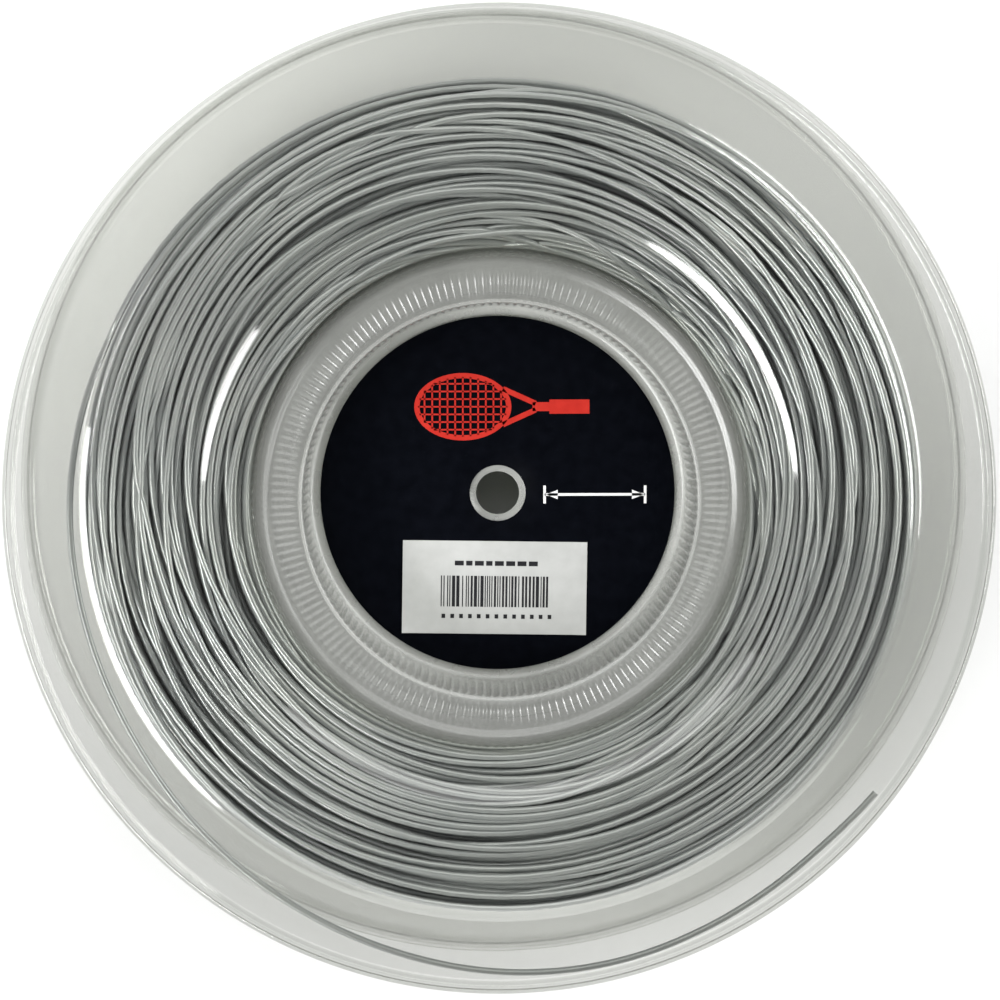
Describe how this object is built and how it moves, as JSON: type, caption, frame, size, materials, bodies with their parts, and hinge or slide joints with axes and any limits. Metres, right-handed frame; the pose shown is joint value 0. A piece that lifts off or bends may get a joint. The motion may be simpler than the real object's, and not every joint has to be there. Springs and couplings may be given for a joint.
{
  "type": "racket string reel",
  "caption": "Clear two-flange reel wound with grey racket string, with a fluted hub cup, a round black label and a loose string end.",
  "frame": {"origin": "centre of the rear rim's resting plane, on the reel's axis", "axes": "+Z along the reel's axis out of the labelled front, +Y to the top of the label, +X to its right"},
  "size_m": [0.184, 0.184, 0.048],
  "materials": {
    "clear_sheet": "clear glossy formed sheet",
    "clear_drum": "clear fluted sheet",
    "string": "satin silver-grey monofilament",
    "label": "printed, satin black",
    "sticker": "thermal print on white paper"
  },
  "bodies": {
    "root": {"front_flange": "clear_sheet", "rear_flange": "clear_sheet", "hub_sleeve": "clear_drum", "string_winding": "string", "string_end": "string", "label_disc": "label", "code_sticker": "sticker"}
  },
  "joints": []
}
